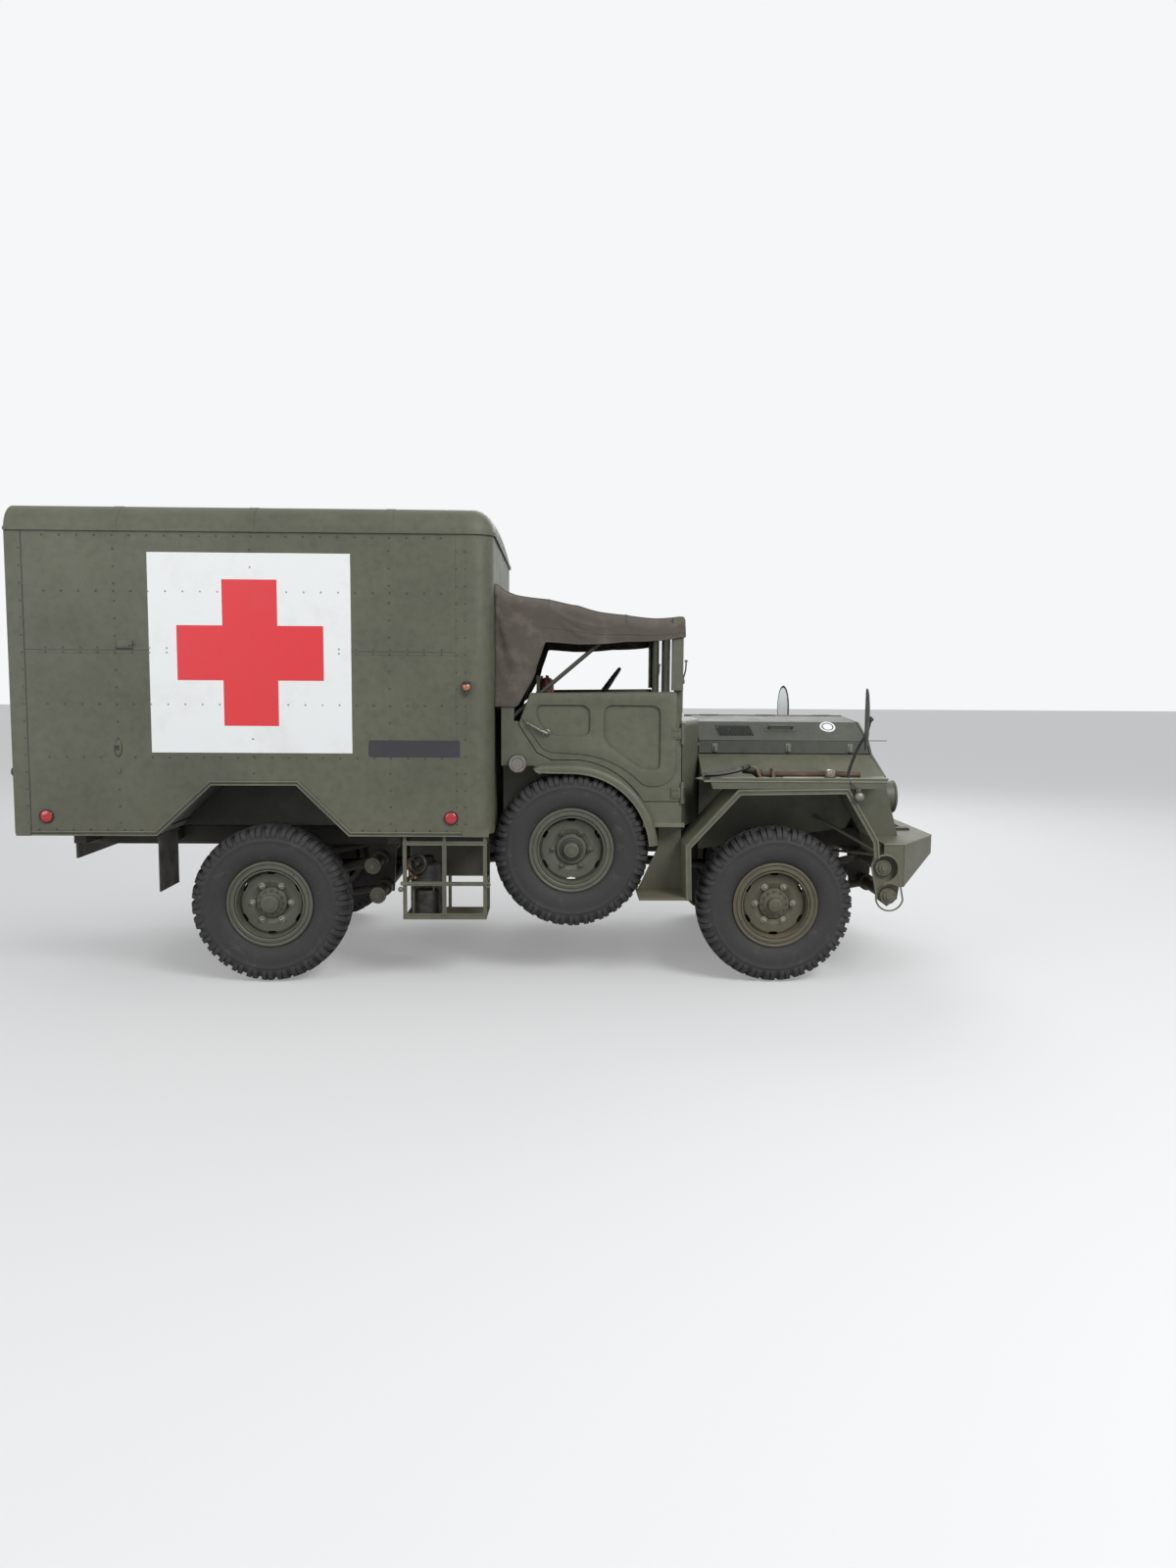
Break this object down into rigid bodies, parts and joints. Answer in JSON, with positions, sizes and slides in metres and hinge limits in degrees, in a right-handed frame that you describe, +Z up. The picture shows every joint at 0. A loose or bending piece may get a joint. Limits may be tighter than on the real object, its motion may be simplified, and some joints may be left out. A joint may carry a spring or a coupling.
{
  "type": "military ambulance truck",
  "caption": "Military ambulance truck: boxy steel body with rear doors, canvas-topped cab, turning spare wheels beside the cab and trailing-arm suspension.",
  "frame": {"origin": "on the ground, under the middle of the whole length and width, as the truck stands", "axes": "+X forward, +Y to the truck's left, +Z up"},
  "size_m": [5.205, 2.4698, 2.65],
  "materials": {
    "olive_paint": "satin",
    "dark_olive": "satin",
    "under_paint": "matte",
    "canvas": "woven",
    "tyre": "dusty",
    "rubber": "matte",
    "glass": "clear",
    "red_lens": "gloss",
    "amber_lens": "gloss",
    "cushion": "satin",
    "black": "satin",
    "cast": "rough",
    "wood": "worn"
  },
  "bodies": {
    "chassis": {"body_floor": "olive_paint", "body_front": "olive_paint", "body_rear_frame": "olive_paint", "body_roof": "olive_paint", "body_side_left": "olive_paint", "body_side_right": "olive_paint", "cab_floor": "olive_paint", "cab_side_left": "olive_paint", "cab_side_right": "olive_paint", "canister": "black", "canvas_bows": "under_paint", "canvas_top": "canvas", "chassis_frame": "under_paint", "cowl": "olive_paint", "front_bumper": "olive_paint", "fuel_tank": "olive_paint", "headlamps": "glass", "marker_lamps": "amber_lens", "mirrors": "black", "mud_flaps": "rubber", "nose_panel": "olive_paint", "pioneer_tools": "wood", "power_train": "cast", "radiator": "black", "reflectors": "red_lens", "seat_cushions": "cushion", "side_rack": "olive_paint", "suspension_front": "under_paint", "suspension_rear": "under_paint", "tow_hitch": "under_paint", "windscreen_frame": "olive_paint", "windscreen_glass": "glass", "wing_left": "olive_paint", "wing_right": "olive_paint"},
    "knuckle_right": {"knuckle_right": "dark_olive"},
    "wheel_front_right": {"tyre_front_right": "tyre", "rim_front_right": "olive_paint"},
    "wheel_rear_right": {"tyre_rear_right": "tyre", "rim_rear_right": "olive_paint"},
    "wheel_spare_right": {"tyre_spare_right": "tyre", "rim_spare_right": "olive_paint"},
    "cab_door_right": {"cab_door_right": "olive_paint"},
    "rear_door_right": {"rear_door_right": "olive_paint", "rear_glass_right": "glass"},
    "bonnet_right": {"bonnet_right": "dark_olive"},
    "knuckle_left": {"knuckle_left": "dark_olive"},
    "wheel_front_left": {"tyre_front_left": "tyre", "rim_front_left": "olive_paint"},
    "wheel_rear_left": {"tyre_rear_left": "tyre", "rim_rear_left": "olive_paint"},
    "wheel_spare_left": {"tyre_spare_left": "tyre", "rim_spare_left": "olive_paint"},
    "cab_door_left": {"cab_door_left": "olive_paint"},
    "rear_door_left": {"rear_door_left": "olive_paint", "rear_glass_left": "glass"},
    "bonnet_left": {"bonnet_left": "dark_olive"},
    "steering_wheel": {"steering_wheel": "black"}
  },
  "joints": [
    {"name": "steer_right", "type": "hinge", "parent": "chassis", "child": "knuckle_right", "pos_m": [1.6125, -0.72, 0.44], "axis": [0, 0, 1], "range_deg": [-24, 24]},
    {"name": "front_wheel_right_turn", "type": "hinge", "parent": "knuckle_right", "child": "wheel_front_right", "pos_m": [1.6125, -0.865, 0.44], "axis": [0, 1, 0], "continuous": true},
    {"name": "rear_wheel_right_turn", "type": "hinge", "parent": "chassis", "child": "wheel_rear_right", "pos_m": [-1.2175, -0.865, 0.44], "axis": [0, 1, 0], "continuous": true},
    {"name": "spare_wheel_right_turn", "type": "hinge", "parent": "chassis", "child": "wheel_spare_right", "pos_m": [0.4625, -0.78, 0.735], "axis": [0, 1, 0], "continuous": true},
    {"name": "cab_door_right_swing", "type": "hinge", "parent": "chassis", "child": "cab_door_right", "pos_m": [1.0835, -0.89, 1.2], "axis": [0, 0, 1], "range_deg": [0, 75]},
    {"name": "rear_door_right_swing", "type": "hinge", "parent": "chassis", "child": "rear_door_right", "pos_m": [-2.5725, -0.997, 1.6], "axis": [0, 0, 1], "range_deg": [0, 170]},
    {"name": "bonnet_right_lift", "type": "hinge", "parent": "chassis", "child": "bonnet_right", "pos_m": [1.6975, -0.016, 1.478], "axis": [-1, 0, 0], "range_deg": [0, 75]},
    {"name": "steer_left", "type": "hinge", "parent": "chassis", "child": "knuckle_left", "pos_m": [1.6125, 0.72, 0.44], "axis": [0, 0, 1], "range_deg": [-24, 24]},
    {"name": "front_wheel_left_turn", "type": "hinge", "parent": "knuckle_left", "child": "wheel_front_left", "pos_m": [1.6125, 0.865, 0.44], "axis": [0, 1, 0], "continuous": true},
    {"name": "rear_wheel_left_turn", "type": "hinge", "parent": "chassis", "child": "wheel_rear_left", "pos_m": [-1.2175, 0.865, 0.44], "axis": [0, 1, 0], "continuous": true},
    {"name": "spare_wheel_left_turn", "type": "hinge", "parent": "chassis", "child": "wheel_spare_left", "pos_m": [0.4625, 0.78, 0.735], "axis": [0, 1, 0], "continuous": true},
    {"name": "cab_door_left_swing", "type": "hinge", "parent": "chassis", "child": "cab_door_left", "pos_m": [1.0835, 0.89, 1.2], "axis": [0, 0, -1], "range_deg": [0, 75]},
    {"name": "rear_door_left_swing", "type": "hinge", "parent": "chassis", "child": "rear_door_left", "pos_m": [-2.5725, 0.997, 1.6], "axis": [0, 0, -1], "range_deg": [0, 170]},
    {"name": "bonnet_left_lift", "type": "hinge", "parent": "chassis", "child": "bonnet_left", "pos_m": [1.6975, 0.016, 1.478], "axis": [1, 0, 0], "range_deg": [0, 75]},
    {"name": "steering_wheel_turn", "type": "hinge", "parent": "chassis", "child": "steering_wheel", "pos_m": [0.6675, 0.4, 1.6], "axis": [-0.8093, 0, 0.5875], "range_deg": [-336, 336]}
  ],
  "couplings": [
    {"joint": "steer_left", "follows": "steer_right", "ratio": 1},
    {"joint": "steering_wheel_turn", "follows": "steer_right", "ratio": 14}
  ]
}
